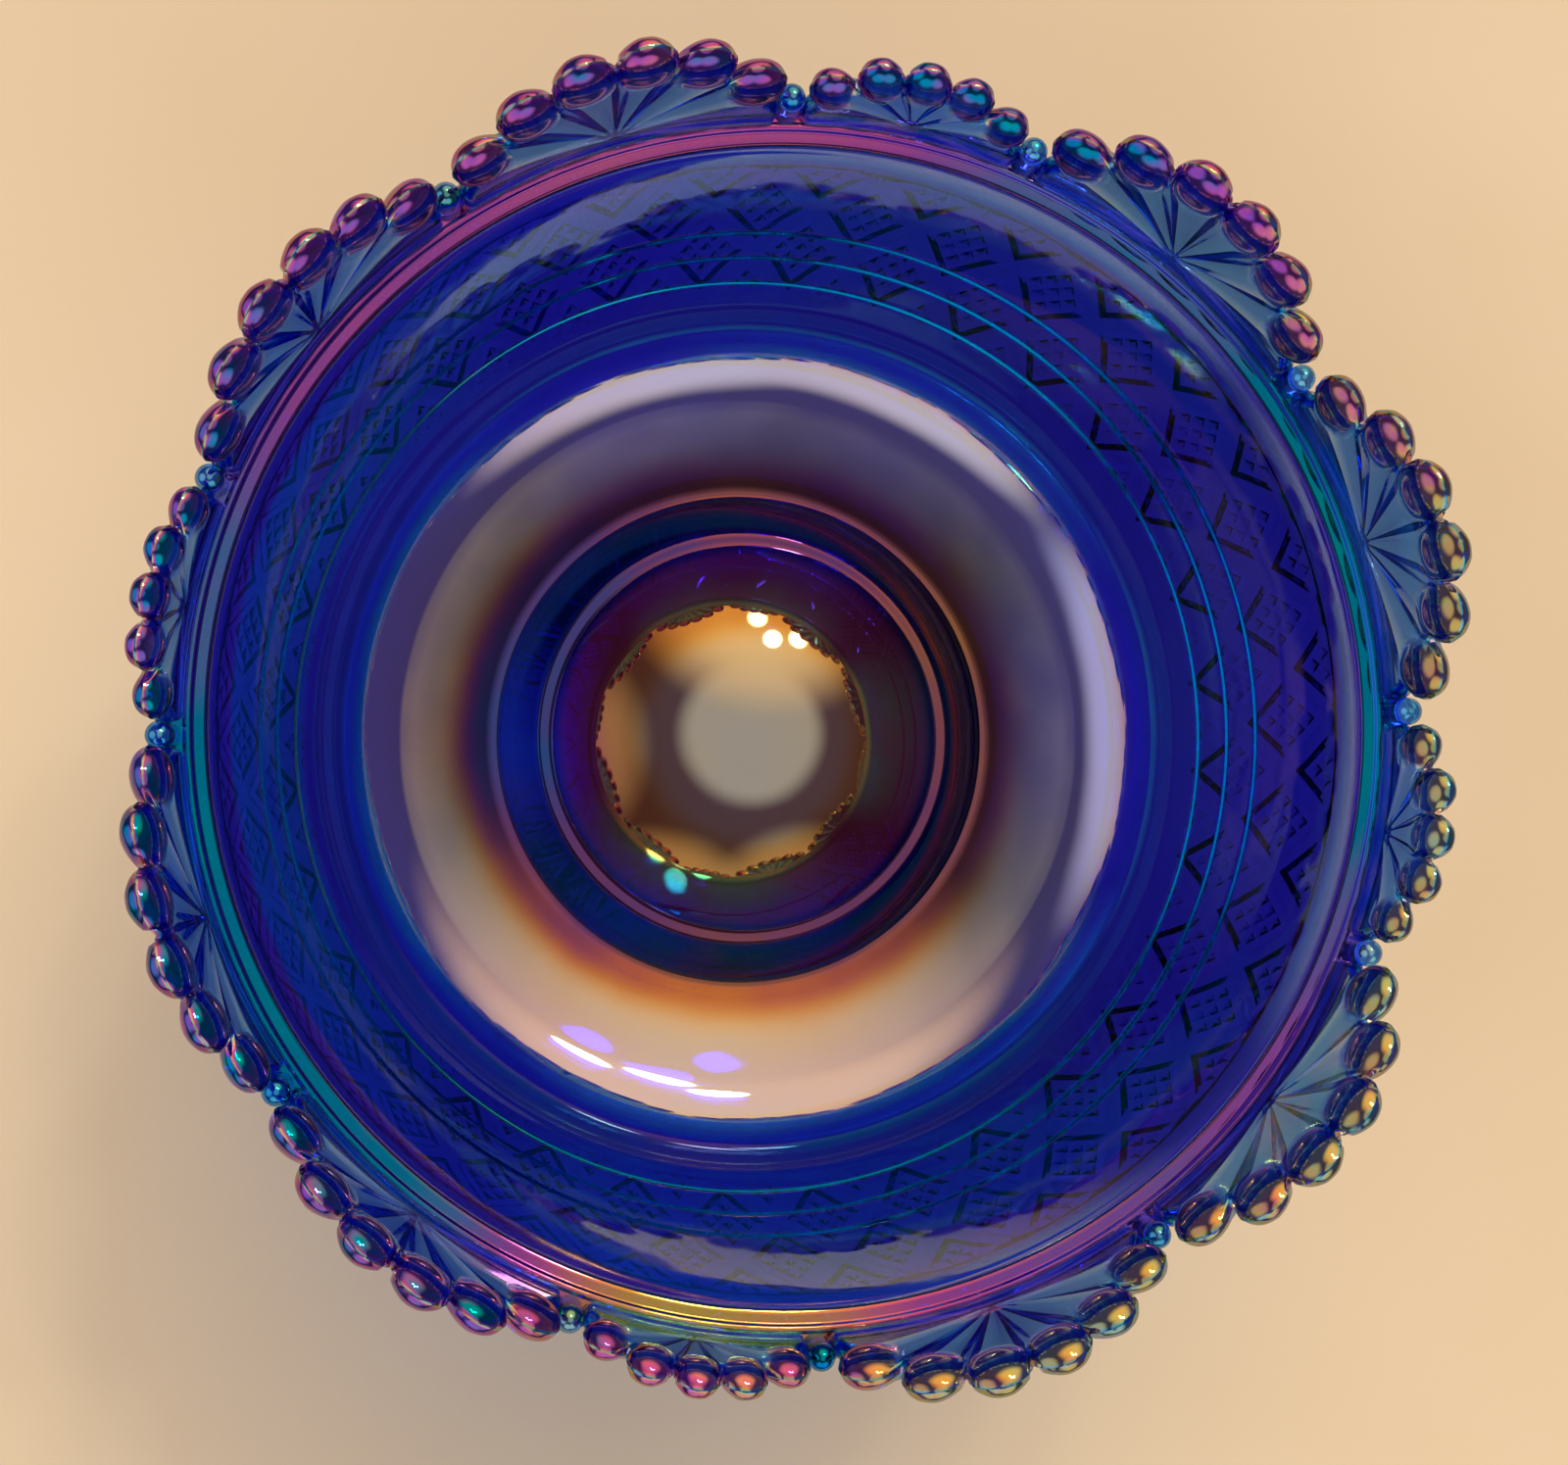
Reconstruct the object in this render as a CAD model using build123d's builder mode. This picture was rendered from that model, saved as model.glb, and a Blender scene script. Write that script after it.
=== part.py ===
from build123d import *
import math
import os

# Round pressed-glass bowl with a scalloped, beaded gallery standing round a lid seat.
# Millimetres. +Z is up, the axis of the bowl is Z, and the foot stands on Z = 0.
# The bowl is one pressing. Its regions are separate solids that meet face to face.

# ---- heights and radii that everything else follows ----
SEAT_Z = 83.0  # top face of the lid seat
SEAT_INNER_R = 77.8  # inner edge of the lid seat
GALLERY_R = 81.0  # inner radius of the gallery, at the lid seat
GALLERY_THICK = 2.8  # glass thickness of the gallery
SEAT_OUTER_R = 84.6  # outer edge of the ring that the gallery stands on
WALL_THICK = 3.8  # glass of the wall under the relief
RELIEF = 1.2  # height of the lozenge relief over the wall
WALL_TOP_DROP = 6.0  # plain strip between the lid seat and the wall

# inner surface: a long arc for the wall, a short arc round the corner, then a straight slope
WALL_LEAN_TOP = 2.0  # degrees from upright, at the lid seat
WALL_LEAN_LOW = 19.0  # degrees from upright, where the corner starts
WALL_ARC_R = 176.8
CORNER_ARC_R = 19.6
WELL_LEAN = 75.0  # degrees from upright, of the slope down to the floor

# floor and foot
FLOOR_EDGE_R = 39.7  # where the slope meets the raised middle of the floor
PLATEAU_R = 33.4  # outer edge of the flat ring round the dome
DOME_R = 31.2  # foot of the dome
FLOOR_EDGE_DROP = 71.0  # depth below the lid seat
PLATEAU_DROP = 66.6
DOME_DROP = 58.6
DOME_RISE = PLATEAU_DROP - DOME_DROP
DOME_CAP_R = (DOME_R**2 + DOME_RISE**2) / (2 * DOME_RISE)  # the dome is part of a sphere
FLOOR_THICK = 5.2
FOOT_OUTER_R = 42.5
FOOT_INNER_R = 36.0
FOOT_ROUND = 1.2

# relief
LOZENGES = 32
ROW_LEANS = (5.1, 9.87, 14.58)  # degrees: where the lozenge corners lie on the wall
ROW_4_LEAN = 24.0  # on the corner arc
ROW_5_LEAN = 58.0  # on the corner arc
RING_DROPS = (33.0, 41.0, 48.6)  # fine rings pressed on the inner wall

# gallery: scallops per quarter turn, as bead counts, anticlockwise from +X
SCALLOPS = (6, 6, 5)
SPAN = {6: 33.4, 5: 23.2}  # degrees
FLARE = {6: 0.20, 5: 0.30}  # outward lean, radius gained per height
# beads of one scallop: angle from its middle, and height over the lid seat
BEADS = {
    6: ((2.75, 17.3), (8.05, 14.3), (12.9, 8.4)),
    5: ((0.0, 9.9), (4.1, 9.1), (8.15, 5.9)),
}
BEAD_R = {6: 3.9, 5: 2.9}  # radius of a bead, seen from inside the bowl
BEAD_DEPTH = {6: 2.7, 5: 2.3}  # half of its thickness through the glass
# V-grooves between the petals: angle from the middle and height where each one ends
GROOVES = {
    6: ((0.0, 17.6), (5.4, 16.0), (10.5, 11.4)),
    5: ((2.05, 9.9), (6.1, 8.0)),
}
GROOVE_DEPTH = 1.5
PILLAR_R = 1.9
PILLAR_Z = 2.7  # height of the pillar under its round top
PILLAR_AT_R = 83.6

os.makedirs("parts", exist_ok=True)


def lean_dir(lean):
    """Outward normal of the wall, as (radius, z), at a lean in degrees."""
    return (math.cos(math.radians(lean)), -math.sin(math.radians(lean)))


WALL_C = (
    SEAT_INNER_R - WALL_ARC_R * lean_dir(WALL_LEAN_TOP)[0],
    SEAT_Z - 3.0 - WALL_ARC_R * lean_dir(WALL_LEAN_TOP)[1],
)
CORNER_C = tuple(
    WALL_C[i] + (WALL_ARC_R - CORNER_ARC_R) * lean_dir(WALL_LEAN_LOW)[i] for i in (0, 1)
)


def on_wall(lean, out=0.0):
    """Point of the wall arc, out millimetres outside the inner surface."""
    d = lean_dir(lean)
    return (WALL_C[0] + (WALL_ARC_R + out) * d[0], WALL_C[1] + (WALL_ARC_R + out) * d[1])


def on_corner(lean, out=0.0):
    """Point of the corner arc, out millimetres outside the inner surface."""
    d = lean_dir(lean)
    return (CORNER_C[0] + (CORNER_ARC_R + out) * d[0], CORNER_C[1] + (CORNER_ARC_R + out) * d[1])


def wall_arc(lean_a, lean_b, out):
    return ThreePointArc(
        on_wall(lean_a, out), on_wall((lean_a + lean_b) / 2, out), on_wall(lean_b, out)
    )


def corner_arc(lean_a, lean_b, out):
    return ThreePointArc(
        on_corner(lean_a, out), on_corner((lean_a + lean_b) / 2, out), on_corner(lean_b, out)
    )


# lean at the top end of the wall, WALL_TOP_DROP below the lid seat
TOP_LEAN = math.degrees(math.asin((WALL_C[1] - (SEAT_Z - WALL_TOP_DROP)) / WALL_ARC_R))
FLOOR_EDGE = (FLOOR_EDGE_R, SEAT_Z - FLOOR_EDGE_DROP)
SLOPE_END = (FLOOR_EDGE[0] + WALL_THICK * 0.26, FLOOR_EDGE[1] - FLOOR_THICK)


def dome_arc(top):
    """Arc of the dome, from its top on the axis down to its foot."""
    full = math.asin(DOME_R / DOME_CAP_R)
    points = []
    for a in (0.0, full / 2, full):
        points.append((DOME_CAP_R * math.sin(a), top - DOME_CAP_R * (1 - math.cos(a))))
    return ThreePointArc(*points)


def save(part, name):
    part.label = name
    export_step(part, f"parts/{name}.step")


# ---- lid seat: ledge, the low ridge round it, and the plain strip below ----
with BuildPart() as lid_seat_ring:
    with BuildSketch(Plane.XZ):
        with BuildLine():
            Polyline(
                on_wall(WALL_LEAN_TOP),
                (SEAT_INNER_R, SEAT_Z - 0.7),
                (SEAT_INNER_R + 0.7, SEAT_Z - 0.05),
                (GALLERY_R - 1.1, SEAT_Z - 0.05),
                (GALLERY_R - 0.8, SEAT_Z + 0.45),
                (GALLERY_R - 0.3, SEAT_Z + 0.45),
                (GALLERY_R, SEAT_Z),
                (SEAT_OUTER_R, SEAT_Z),
                (SEAT_OUTER_R, SEAT_Z - 1.6),
                (SEAT_OUTER_R - 1.5, SEAT_Z - 4.2),
                on_wall(TOP_LEAN, WALL_THICK),
                on_wall(TOP_LEAN),
            )
            wall_arc(TOP_LEAN, WALL_LEAN_TOP, 0.0)
        make_face()
    revolve(axis=Axis.Z)
save(lid_seat_ring.part, "lid_seat_ring")

# ---- upper wall, with the fine rings that the plunger leaves inside ----
with BuildPart() as bowl_wall:
    with BuildSketch(Plane.XZ):
        with BuildLine():
            wall_arc(TOP_LEAN, WALL_LEAN_LOW, WALL_THICK)
            Line(on_wall(WALL_LEAN_LOW, WALL_THICK), on_wall(WALL_LEAN_LOW))
            wall_arc(WALL_LEAN_LOW, TOP_LEAN, 0.0)
            Line(on_wall(TOP_LEAN), on_wall(TOP_LEAN, WALL_THICK))
        make_face()
        for drop in RING_DROPS:
            ring_lean = math.degrees(math.asin((WALL_C[1] - (SEAT_Z - drop)) / WALL_ARC_R))
            with Locations(on_wall(ring_lean, 0.15)):
                Circle(0.55)
    revolve(axis=Axis.Z)
save(bowl_wall.part, "bowl_wall")

# ---- lower bowl: the rounded corner and the slope down to the floor ----
with BuildPart() as bowl_well:
    with BuildSketch(Plane.XZ):
        with BuildLine():
            corner_arc(WALL_LEAN_LOW, WELL_LEAN, WALL_THICK)
            Line(on_corner(WELL_LEAN, WALL_THICK), SLOPE_END)
            Line(SLOPE_END, FLOOR_EDGE)
            Line(FLOOR_EDGE, on_corner(WELL_LEAN))
            corner_arc(WELL_LEAN, WALL_LEAN_LOW, 0.0)
            Line(on_wall(WALL_LEAN_LOW), on_wall(WALL_LEAN_LOW, WALL_THICK))
        make_face()
    revolve(axis=Axis.Z)
save(bowl_well.part, "bowl_well")

# ---- floor: raised middle with a flat ring round a low dome ----
with BuildPart() as bowl_floor:
    with BuildSketch(Plane.XZ):
        with BuildLine():
            dome_arc(SEAT_Z - DOME_DROP)
            Polyline(
                (DOME_R, SEAT_Z - PLATEAU_DROP),
                (PLATEAU_R, SEAT_Z - PLATEAU_DROP),
                (PLATEAU_R + 0.6, SEAT_Z - PLATEAU_DROP - 0.35),
                FLOOR_EDGE,
                SLOPE_END,
                (FOOT_INNER_R, SLOPE_END[1]),
                (DOME_R, SEAT_Z - PLATEAU_DROP - FLOOR_THICK),
            )
            dome_arc(SEAT_Z - DOME_DROP - FLOOR_THICK)
            Line((0, SEAT_Z - DOME_DROP - FLOOR_THICK), (0, SEAT_Z - DOME_DROP))
        make_face()
    revolve(axis=Axis.Z)
save(bowl_floor.part, "bowl_floor")

# ---- collar foot: a plain ring under the floor ----
with BuildPart() as collar_foot:
    with BuildSketch(Plane.XZ):
        with BuildLine():
            slope_rise = math.tan(math.radians(90 - WELL_LEAN))
            collar_top = (FOOT_OUTER_R, SLOPE_END[1] + slope_rise * (FOOT_OUTER_R - SLOPE_END[0]))
            Polyline(
                (FOOT_INNER_R, SLOPE_END[1]),
                SLOPE_END,
                collar_top,
                (FOOT_OUTER_R, FOOT_ROUND),
                (FOOT_OUTER_R - 0.4, 0.4),
                (FOOT_OUTER_R - FOOT_ROUND, 0.0),
                (FOOT_INNER_R + FOOT_ROUND, 0.0),
                (FOOT_INNER_R + 0.4, 0.4),
                (FOOT_INNER_R, FOOT_ROUND),
                (FOOT_INNER_R, SLOPE_END[1]),
            )
        make_face()
    revolve(axis=Axis.Z)
save(collar_foot.part, "collar_foot")

# ---- everything inside the relief, taken away from the back of each lozenge ----
with BuildPart() as relief_core:
    with BuildSketch(Plane.XZ):
        with BuildLine():
            core_low = on_corner(WELL_LEAN, WALL_THICK)
            Line((0.0, core_low[1]), core_low)
            corner_arc(WELL_LEAN, WALL_LEAN_LOW, WALL_THICK)
            wall_arc(WALL_LEAN_LOW, TOP_LEAN, WALL_THICK)
            core_top = on_wall(TOP_LEAN, WALL_THICK)
            Polyline(core_top, (0.0, core_top[1]), (0.0, core_low[1]))
        make_face()
    revolve(axis=Axis.Z)


def relief_plane(point, lean):
    """Plane touching the relief: x runs round the bowl, y runs up the wall."""
    d = lean_dir(lean)
    return Plane(origin=(point[0], 0, point[1]), x_dir=(0, 1, 0), z_dir=(d[0], 0, d[1]))


def inset(points, gap):
    """Pulls the corners of a small outline towards its middle by about gap."""
    mx = sum(p[0] for p in points) / len(points)
    my = sum(p[1] for p in points) / len(points)
    size = min(math.hypot(p[0] - mx, p[1] - my) for p in points)
    k = 1 - gap / size
    return [(mx + (p[0] - mx) * k, my + (p[1] - my) * k) for p in points]


HALF_STEP = math.pi / LOZENGES  # half the angle of one lozenge
OUT = WALL_THICK + RELIEF * 0.55  # where the frame of a lozenge ends
row_1 = on_wall(ROW_LEANS[0], OUT)
row_2 = on_wall(ROW_LEANS[1], OUT)
row_3 = on_wall(ROW_LEANS[2], OUT)
row_4 = on_corner(ROW_4_LEAN, OUT)
row_5 = on_corner(ROW_5_LEAN, OUT)


def pyramid_centres(half_width, up, down, count, fill):
    """Centres of count x count small pyramids that fill a lozenge."""
    centres = []
    for i in range(count):
        for j in range(count):
            u = (i + 0.5) / count - 0.5
            v = (j + 0.5) / count - 0.5
            x = (u - v) * half_width * fill
            y = (u + v) * (up if u + v > 0 else down) * fill
            centres.append((x, y))
    return centres


ROWS = {
    "diamond_row_upper": (row_2, ROW_LEANS[1], row_1, row_3, 0.0),
    "diamond_row_middle": (row_3, ROW_LEANS[2], row_2, row_4, 0.5),
}
for row_name, (centre, lean, above, below, shift) in ROWS.items():
    half_w = centre[0] * math.tan(HALF_STEP)
    up = math.dist(centre, above)
    down = math.dist(centre, below)
    face_plane = relief_plane(centre, lean)
    with BuildPart() as stamp:
        with BuildSketch(face_plane.offset(-2.2)):
            Polygon(*inset([(half_w, 0), (0, up), (-half_w, 0), (0, -down)], 0.25), align=None)
        extrude(amount=2.2, taper=14)
        with BuildSketch(face_plane.offset(-0.1)):
            with Locations(*pyramid_centres(half_w, up, down, 3, 0.76)):
                Polygon(
                    (half_w * 0.20, 0), (0, up * 0.20), (-half_w * 0.20, 0), (0, -up * 0.20),
                    align=None,
                )
        extrude(amount=0.7, taper=52)
        add(relief_core.part, mode=Mode.SUBTRACT)
    with BuildPart() as diamond_row:
        with Locations(Location((0, 0, 0), (0, 0, shift * 360 / LOZENGES))):
            with PolarLocations(0, LOZENGES):
                add(stamp.part)
    save(diamond_row.part, row_name)

# ---- lower lozenges: they fold over the rounded corner, so each has two halves ----
low_plane = relief_plane(row_4, ROW_4_LEAN - 4)
low_half_w = row_4[0] * math.tan(HALF_STEP)
low_up = math.dist(row_4, row_3)
tail_mid = on_corner((ROW_4_LEAN + ROW_5_LEAN) / 2, OUT + 0.5)
tail_plane = relief_plane(tail_mid, (ROW_4_LEAN + ROW_5_LEAN) / 2)
tail_up = math.dist(tail_mid, row_4)
tail_down = math.dist(tail_mid, row_5)
with BuildPart() as low_stamp:
    with BuildSketch(low_plane.offset(-2.4)):
        Polygon(
            *inset([(low_half_w, 0.2), (0, low_up), (-low_half_w, 0.2)], 0.3), align=None
        )
    extrude(amount=2.2, taper=14)
    with BuildSketch(tail_plane.offset(-3.0)):
        Polygon(
            *inset([(low_half_w, tail_up - 0.6), (-low_half_w, tail_up - 0.6), (0, -tail_down)], 0.4),
            align=None,
        )
    extrude(amount=2.4, taper=14)
    add(relief_core.part, mode=Mode.SUBTRACT)
with BuildPart() as diamond_row_lower:
    with PolarLocations(0, LOZENGES):
        add(low_stamp.part)
save(diamond_row_lower.part, "diamond_row_lower")

# ---- sawtooth: small upright triangles between the tails of the lower lozenges ----
with BuildPart() as tooth_stamp:
    foot_w = row_5[0] * math.tan(HALF_STEP)
    with BuildSketch(tail_plane.offset(-3.0)):
        Polygon(
            *inset([(0, tail_up - 0.8), (foot_w, -tail_down), (-foot_w, -tail_down)], 0.9),
            align=None,
        )
    extrude(amount=2.1, taper=14)
    add(relief_core.part, mode=Mode.SUBTRACT)
with BuildPart() as sawtooth_row:
    with Locations(Location((0, 0, 0), (0, 0, 180 / LOZENGES))):
        with PolarLocations(0, LOZENGES):
            add(tooth_stamp.part)
save(sawtooth_row.part, "sawtooth_row")

# ---- half lozenges hanging from the plain strip, between the upper lozenges ----
hang_centre = ((row_1[0] + row_2[0]) / 2, (row_1[1] + row_2[1]) / 2)
hang_plane = relief_plane(hang_centre, (ROW_LEANS[0] + ROW_LEANS[1]) / 2)
hang_half = math.dist(row_1, row_2) / 2
with BuildPart() as hang_stamp:
    hang_w = row_1[0] * math.tan(HALF_STEP)
    with BuildSketch(hang_plane.offset(-2.2)):
        Polygon(
            *inset([(hang_w, hang_half), (-hang_w, hang_half), (0, -hang_half)], 0.5),
            align=None,
        )
    extrude(amount=2.1, taper=14)
    add(relief_core.part, mode=Mode.SUBTRACT)
with BuildPart() as half_diamond_row:
    with Locations(Location((0, 0, 0), (0, 0, 180 / LOZENGES))):
        with PolarLocations(0, LOZENGES):
            add(hang_stamp.part)
save(half_diamond_row.part, "half_diamond_row")


# ---- gallery: fans of petals, their beads, and the pillars between them ----
def gallery_mid(count, height):
    """Radius of the middle of the glass of a scallop at a height over the lid seat."""
    return GALLERY_R + GALLERY_THICK / 2 + FLARE[count] * height


def bead_spots(count):
    """Every bead of a scallop as (angle, height), on both sides of its middle."""
    spots = []
    for angle, height in BEADS[count]:
        for side in ((1,) if angle == 0 else (-1, 1)):
            spots.append((side * angle, height))
    return sorted(spots)


def polar_point(radius, angle, z):
    a = math.radians(angle)
    return (radius * math.cos(a), radius * math.sin(a), z)


fan_stamps = {}
bead_stamps = {}
for count in (6, 5):
    spots = bead_spots(count)
    half_span = SPAN[count] / 2
    with BuildPart() as one_bead:
        Sphere(BEAD_R[count])
        scale(by=(BEAD_DEPTH[count] / BEAD_R[count], 1, 1))
    with BuildPart() as beads:
        for angle, height in spots:
            at = polar_point(gallery_mid(count, height), angle, SEAT_Z + height)
            with Locations(Location(at, (0, 0, angle))):
                add(one_bead.part)
    bead_stamps[count] = beads.part
    top = max(height for angle, height in spots)
    with BuildPart() as fan:
        with BuildSketch(Plane.XZ.rotated((0, 0, -half_span))):
            outer = GALLERY_R + GALLERY_THICK
            lean = FLARE[count] * (top + 1)
            Polygon(
                (GALLERY_R, SEAT_Z),
                (outer, SEAT_Z),
                (outer + lean, SEAT_Z + top + 1),
                (GALLERY_R + lean, SEAT_Z + top + 1),
                align=None,
            )
        revolve(axis=Axis.Z, revolution_arc=SPAN[count])
        # the arched top edge runs through the middles of the beads
        with BuildSketch(Plane.YZ.offset(60)):
            edge = [(-30.0, SEAT_Z + 40), (-30.0, SEAT_Z + 2.4)]
            side = gallery_mid(count, 2.0) * math.sin(math.radians(half_span))
            edge.append((-side, SEAT_Z + 2.4))
            for angle, height in spots:
                across = gallery_mid(count, height) * math.sin(math.radians(angle))
                edge.append((across, SEAT_Z + height))
            edge.append((side, SEAT_Z + 2.4))
            edge += [(30.0, SEAT_Z + 2.4), (30.0, SEAT_Z + 40)]
            Polygon(*edge, align=None)
        extrude(amount=40, mode=Mode.SUBTRACT)
        # V-grooves on the outside spread from one root at the foot of the fan
        root = Vector(*polar_point(GALLERY_R + GALLERY_THICK + 0.25, 0, SEAT_Z + 0.6))
        for angle, height in GROOVES[count]:
            for side in ((1,) if angle == 0 else (-1, 1)):
                face_r = GALLERY_R + GALLERY_THICK + FLARE[count] * height
                end = Vector(*polar_point(face_r - GROOVE_DEPTH + 0.4, side * angle, SEAT_Z + height))
                along = (end - root).normalized()
                outwards = Vector(1, 0, 0) - along * along.X
                cutter = Plane(origin=root - along, x_dir=outwards.normalized(), z_dir=along)
                with BuildSketch(cutter):
                    Polygon((-0.15, 0), (6, 4.4), (6, -4.4), align=None)
                extrude(amount=(end - root).length + 6, mode=Mode.SUBTRACT)
        # a small notch on each side, low beside the pillar
        for side in (-1, 1):
            spot = side * (half_span - (3.4 if count == 6 else 2.9))
            at = polar_point(GALLERY_R + GALLERY_THICK - 0.2, spot, SEAT_Z + 1.9)
            with Locations(Location(at, (0, -90, spot))):
                Cone(1.5, 0.05, 2.0, mode=Mode.SUBTRACT)
        add(beads.part, mode=Mode.SUBTRACT)
        for side in (-1, 1):
            with Locations(polar_point(PILLAR_AT_R, side * half_span, SEAT_Z + 3)):
                Cylinder(PILLAR_R, 8, mode=Mode.SUBTRACT)
    fan_stamps[count] = fan.part

turn = 0.0
number = 0
valleys = []
for quarter in range(4):
    for count in SCALLOPS:
        number += 1
        middle = turn + SPAN[count] / 2
        with BuildPart() as scallop_fan:
            with Locations(Location((0, 0, 0), (0, 0, middle))):
                add(fan_stamps[count])
        save(scallop_fan.part, f"scallop_fan_{number:02d}")
        with BuildPart() as edge_beads:
            with Locations(Location((0, 0, 0), (0, 0, middle))):
                add(bead_stamps[count])
        save(edge_beads.part, f"edge_beads_{number:02d}")
        valleys.append(turn)
        turn += SPAN[count]

with BuildPart() as valley_pillars:
    for angle in valleys:
        with Locations(polar_point(PILLAR_AT_R, angle, SEAT_Z + PILLAR_Z / 2)):
            Cylinder(PILLAR_R, PILLAR_Z)
        with Locations(polar_point(PILLAR_AT_R, angle, SEAT_Z + PILLAR_Z)):
            Sphere(PILLAR_R)
    with BuildSketch(Plane.XY.offset(SEAT_Z - 6)):
        Circle(GALLERY_R + 20)
    extrude(amount=6, mode=Mode.SUBTRACT)
save(valley_pillars.part, "valley_pillars")
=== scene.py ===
# %% [markdown]
# # A beaded, iridescent pressed-glass bowl
# The real bowl is one pressing of cobalt-blue glass. A plunger forms its smooth inside, and
# the mould forms the lozenge relief outside, the fans round the mouth and the foot. While it
# is hot it is sprayed with metal salts, which leave a film thinner than a soap bubble's.
# The CAD frame gives every size. Here the same surfaces are made again as fine glass meshes.

# %% Load the frame
import bpy
import bmesh
import math
from mathutils import Matrix, Vector


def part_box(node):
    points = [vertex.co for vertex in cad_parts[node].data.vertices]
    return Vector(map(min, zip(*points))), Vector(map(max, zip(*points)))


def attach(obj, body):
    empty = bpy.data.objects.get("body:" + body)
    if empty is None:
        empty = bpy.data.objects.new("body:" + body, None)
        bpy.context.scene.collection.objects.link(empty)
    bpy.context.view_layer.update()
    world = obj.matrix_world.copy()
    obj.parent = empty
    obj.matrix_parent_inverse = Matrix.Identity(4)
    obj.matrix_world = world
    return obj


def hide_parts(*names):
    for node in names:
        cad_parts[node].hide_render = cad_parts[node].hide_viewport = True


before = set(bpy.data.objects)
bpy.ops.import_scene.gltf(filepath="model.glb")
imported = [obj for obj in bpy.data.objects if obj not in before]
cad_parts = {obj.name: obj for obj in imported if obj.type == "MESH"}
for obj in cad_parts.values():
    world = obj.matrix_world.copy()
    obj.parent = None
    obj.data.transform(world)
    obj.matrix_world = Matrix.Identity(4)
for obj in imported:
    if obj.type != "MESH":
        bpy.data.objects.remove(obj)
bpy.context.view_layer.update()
MM = 0.001

# %% [markdown]
# ## Sizes
# All of these are the sizes that the CAD solids were made with, in millimetres. The lid seat
# is the flat ledge inside the gallery of fans. Its height is read from the CAD node.

# %% Sizes of the bowl
SEAT_Z = round(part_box("scallop_fan_01")[0][2] / MM, 3)
SEAT_INNER_R, SEAT_OUTER_R, GALLERY_R = 77.8, 84.6, 81.0
WALL, WALL_ARC_R, CORNER_ARC_R = 3.8, 176.8, 19.6
LEAN_TOP, LEAN_LOW, LEAN_WELL = 2.0, 19.0, 75.0
LOZENGES = 32
print("lid seat at", SEAT_Z, "mm")


def outward(lean):
    """Outward normal of the wall in its profile, as (radius, height)."""
    a = math.radians(lean)
    return math.cos(a), -math.sin(a)


WALL_C = (SEAT_INNER_R - WALL_ARC_R * outward(LEAN_TOP)[0],
          SEAT_Z - 3.0 - WALL_ARC_R * outward(LEAN_TOP)[1])
CORNER_C = tuple(WALL_C[i] + (WALL_ARC_R - CORNER_ARC_R) * outward(LEAN_LOW)[i] for i in (0, 1))


def on_bowl(lean, out=0.0):
    """Point of the bowl's profile at a lean, out millimetres outside its inner surface."""
    centre, radius = (WALL_C, WALL_ARC_R) if lean <= LEAN_LOW else (CORNER_C, CORNER_ARC_R)
    d = outward(lean)
    return centre[0] + (radius + out) * d[0], centre[1] + (radius + out) * d[1]


# %% [markdown]
# ## Camera
# The camera looks down into the bowl, a few degrees off its axis, from a little over 30 cm
# above the lid seat. The lens is a short telephoto, so the near rim looks larger than the floor.

# %% Camera
# the columns are the camera's right, up and backward directions
camera_turn = Matrix(((0.99056, 0.01924, -0.13575),
                      (-0.02330, 0.99933, -0.02836),
                      (0.13511, 0.03125, 0.99034)))
camera_data = bpy.data.cameras.new("camera")
camera_data.sensor_width = 36.0
camera_data.lens = 54.0
camera = bpy.data.objects.new("camera", camera_data)
bpy.context.scene.collection.objects.link(camera)
# its place is given in radii of the gallery, from the middle of the lid seat
camera_at = Vector((-0.55985, -0.12435, 3.84303)) * GALLERY_R * MM + Vector((0, 0, SEAT_Z * MM))
camera.matrix_world = Matrix.Translation(camera_at) @ camera_turn.to_4x4()
bpy.context.scene.camera = camera
print("camera at", [round(v, 4) for v in camera_at])

# %% [markdown]
# ## Floor and light
# A plain pale floor stands in for the cloth, a little warm and a little uneven. All the light
# comes from the room round it, so there are no lamps in the scene itself.


# %% Helpers for nodes and colours
def hex_colour(text):
    """sRGB hex to the linear colour that Blender works in."""
    def linear(c):
        return c / 12.92 if c <= 0.04045 else ((c + 0.055) / 1.055) ** 2.4
    return tuple(linear(int(text[i:i + 2], 16) / 255) for i in (1, 3, 5)) + (1.0,)


def add_node(tree, kind, settings=None, inputs=None):
    """Adds a node, sets its properties, then sets or links its inputs."""
    node = tree.nodes.new(kind)
    for key, value in (settings or {}).items():
        setattr(node, key, value)
    for key, value in (inputs or {}).items():
        socket = node.inputs[key]
        if isinstance(value, bpy.types.NodeSocket):
            tree.links.new(value, socket)
        else:
            socket.default_value = value
    return node


# %% Helpers for numbers and colours in a node tree
def number(tree, operation, *values):
    """A math node on numbers or sockets; returns its result."""
    return add_node(tree, "ShaderNodeMath", {"operation": operation}, dict(enumerate(values))).outputs[0]


def fade(tree, value, start, end):
    """0 where a value is at start and 1 where it is at end, with a soft change between them."""
    return add_node(tree, "ShaderNodeMapRange", {"interpolation_type": "SMOOTHSTEP"}, {
        "Value": value, "From Min": start, "From Max": end}).outputs["Result"]


def mixed(tree, factor, a, b):
    """Number mix: a where the factor is 0, b where it is 1."""
    return add_node(tree, "ShaderNodeMix", {"data_type": "FLOAT"}, {
        "Factor": factor, "A": a, "B": b}).outputs[0]


def mixed_colour(tree, factor, a, b):
    """Colour mix: a where the factor is 0, b where it is 1."""
    return add_node(tree, "ShaderNodeMix", {"data_type": "RGBA"}, {
        "Factor": factor, "A": a, "B": b}).outputs["Result"]


# %% Floor
FLOOR_HALF = 3.0


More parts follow.
